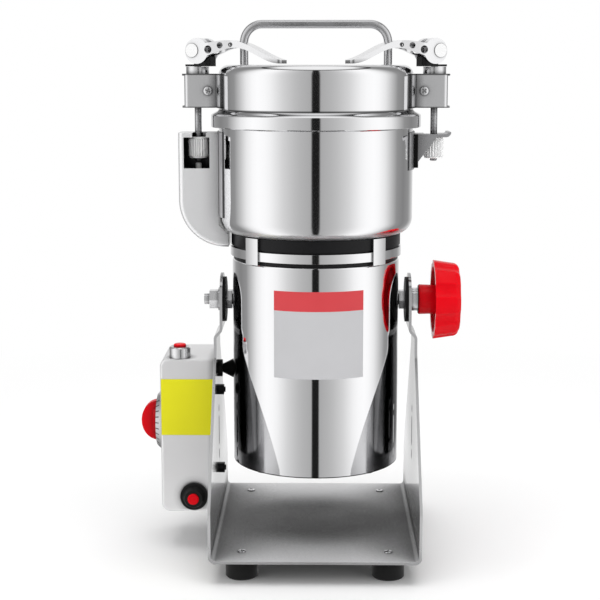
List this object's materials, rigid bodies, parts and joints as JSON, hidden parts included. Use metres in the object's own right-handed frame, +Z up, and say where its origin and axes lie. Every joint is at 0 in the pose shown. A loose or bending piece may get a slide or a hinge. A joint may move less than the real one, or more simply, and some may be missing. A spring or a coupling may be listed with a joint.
{
  "type": "electric grain mill",
  "caption": "Swing type electric grain mill: steel bowl and motor can pivoted between two arms, clamped lid with cam levers, timer and overload reset box, and a lock knob.",
  "frame": {"origin": "middle of the footprint box, on the floor under the feet", "axes": "+Z up, -Y towards the front, +X towards the lock knob"},
  "size_m": [0.2356, 0.188, 0.3881],
  "materials": {
    "polished_steel": "mirror polished stainless steel",
    "satin_steel": "satin stainless steel",
    "cast_lever": "plated casting",
    "bright_steel": "bright turned steel",
    "black_steel": "blackened steel",
    "black_plastic": "moulded",
    "black_rubber": "matt",
    "red_plastic": "glossy",
    "dial_aluminium": "turned",
    "white_plastic": "moulded",
    "white_silicone": "soft",
    "lamination_steel": "stacked sheet",
    "copper": "enamelled winding",
    "carbon": "sintered",
    "cast_aluminium": "die cast",
    "fan_plastic": "moulded"
  },
  "bodies": {
    "stand": {"base_frame": "satin_steel", "feet": "black_rubber", "stand_screws": "black_steel", "friction_discs": "black_rubber", "switch_box": "satin_steel", "button_bezel": "bright_steel", "reset_boot": "black_rubber", "overload_breaker": "black_plastic", "timer_body": "black_plastic", "arm_grommet": "black_rubber", "mains_gland": "black_rubber"},
    "swing_unit": {"motor_can": "polished_steel", "can_gland": "black_rubber", "can_cover": "black_plastic", "cover_screws": "bright_steel", "pivot_studs": "bright_steel", "pivot_nuts": "bright_steel", "upper_bearing_bracket": "cast_aluminium", "lower_bearing_bracket": "cast_aluminium", "shaft_bearings": "bright_steel", "stator_core": "lamination_steel", "field_coils": "copper", "carbon_brushes": "carbon", "neck_spacer": "black_plastic", "neck_ring": "polished_steel", "bowl": "polished_steel", "shaft_seal": "white_silicone", "wall_strips": "satin_steel", "catch_bracket": "satin_steel", "interlock_housing": "satin_steel", "microswitch": "black_plastic"},
    "rotor": {"motor_shaft": "bright_steel", "armature": "lamination_steel", "commutator": "copper", "cooling_fan": "fan_plastic", "lower_blade": "bright_steel", "upper_blade": "bright_steel", "blade_spacers": "bright_steel", "blade_nut": "bright_steel"},
    "lid": {"lid_shell": "polished_steel", "lid_gasket": "white_silicone", "lid_handle": "polished_steel", "lid_brackets": "satin_steel", "clamp_blocks": "satin_steel", "block_screws": "bright_steel", "rod_washers": "bright_steel"},
    "left_swivel": {"left_saddle": "black_plastic"},
    "left_clamp_rod": {"left_rod": "bright_steel"},
    "left_cam_lever": {"left_lever": "cast_lever"},
    "left_nut": {"left_thumb_nut": "bright_steel"},
    "right_swivel": {"right_saddle": "black_plastic"},
    "right_clamp_rod": {"right_rod": "bright_steel"},
    "right_cam_lever": {"right_lever": "cast_lever"},
    "right_nut": {"right_thumb_nut": "bright_steel"},
    "switch_plunger": {"interlock_plunger": "white_plastic"},
    "timer_knob": {"timer_skirt": "dial_aluminium", "timer_grip": "red_plastic"},
    "push_button": {"power_button": "red_plastic"},
    "reset_key": {"reset_button": "red_plastic"},
    "swing_lock": {"lock_knob": "red_plastic"}
  },
  "joints": [
    {"name": "swing_pivot", "type": "hinge", "parent": "stand", "child": "swing_unit", "pos_m": [0.0128, 0, 0.1863], "axis": [1, 0, 0], "range_deg": [-90, 90]},
    {"name": "spindle_spin", "type": "hinge", "parent": "swing_unit", "child": "rotor", "pos_m": [0.0128, 0, 0.2365], "axis": [0, 0, 1], "continuous": true},
    {"name": "lid_turn", "type": "hinge", "parent": "swing_unit", "child": "lid", "pos_m": [0.0128, 0, 0.3175], "axis": [0, 0, 1], "range_deg": [0, 30]},
    {"name": "left_clamp_swivel", "type": "hinge", "parent": "lid", "child": "left_swivel", "pos_m": [-0.0722, 0, 0.3554], "axis": [0, 0, 1], "range_deg": [-40, 0]},
    {"name": "left_rod_slide", "type": "slide", "parent": "left_swivel", "child": "left_clamp_rod", "axis": [0, 0, -1], "range_m": [0, 0.00341]},
    {"name": "left_lever_turn", "type": "hinge", "parent": "left_clamp_rod", "child": "left_cam_lever", "pos_m": [-0.0722, 0, 0.3666], "axis": [-0.4067, -0.9135, 0], "range_deg": [0, 120]},
    {"name": "left_nut_turn", "type": "hinge", "parent": "left_clamp_rod", "child": "left_nut", "pos_m": [-0.0722, 0, 0.29], "axis": [0, 0, 1], "continuous": true},
    {"name": "right_clamp_swivel", "type": "hinge", "parent": "lid", "child": "right_swivel", "pos_m": [0.0978, 0, 0.3554], "axis": [0, 0, 1], "range_deg": [0, 40]},
    {"name": "right_rod_slide", "type": "slide", "parent": "right_swivel", "child": "right_clamp_rod", "axis": [0, 0, -1], "range_m": [0, 0.00341]},
    {"name": "right_lever_turn", "type": "hinge", "parent": "right_clamp_rod", "child": "right_cam_lever", "pos_m": [0.0978, 0, 0.3666], "axis": [-0.4067, 0.9135, 0], "range_deg": [0, 120]},
    {"name": "right_nut_turn", "type": "hinge", "parent": "right_clamp_rod", "child": "right_nut", "pos_m": [0.0978, 0, 0.29], "axis": [0, 0, 1], "continuous": true},
    {"name": "interlock_press", "type": "slide", "parent": "swing_unit", "child": "switch_plunger", "axis": [0, 0, -1], "range_m": [0, 0.00211], "stiffness_N_per_m": 100},
    {"name": "timer_turn", "type": "hinge", "parent": "stand", "child": "timer_knob", "pos_m": [-0.1012, 0.008, 0.093], "axis": [1, 0, 0], "range_deg": [0, 300]},
    {"name": "power_press", "type": "slide", "parent": "stand", "child": "push_button", "axis": [0, 0, -1], "range_m": [0, 0.002], "stiffness_N_per_m": 400},
    {"name": "reset_press", "type": "slide", "parent": "stand", "child": "reset_key", "axis": [0, 1, 0], "range_m": [0, 0.0025], "stiffness_N_per_m": 400},
    {"name": "lock_turn", "type": "hinge", "parent": "swing_unit", "child": "swing_lock", "pos_m": [0.0878, 0, 0.1863], "axis": [1, 0, 0], "range_deg": [0, 360]}
  ],
  "couplings": [
    {"joint": "left_rod_slide", "follows": "left_lever_turn", "m_per_rad": 0.0016234},
    {"joint": "right_rod_slide", "follows": "right_lever_turn", "m_per_rad": 0.0016234},
    {"joint": "interlock_press", "follows": "left_lever_turn", "m_per_rad": 0.0010027}
  ]
}
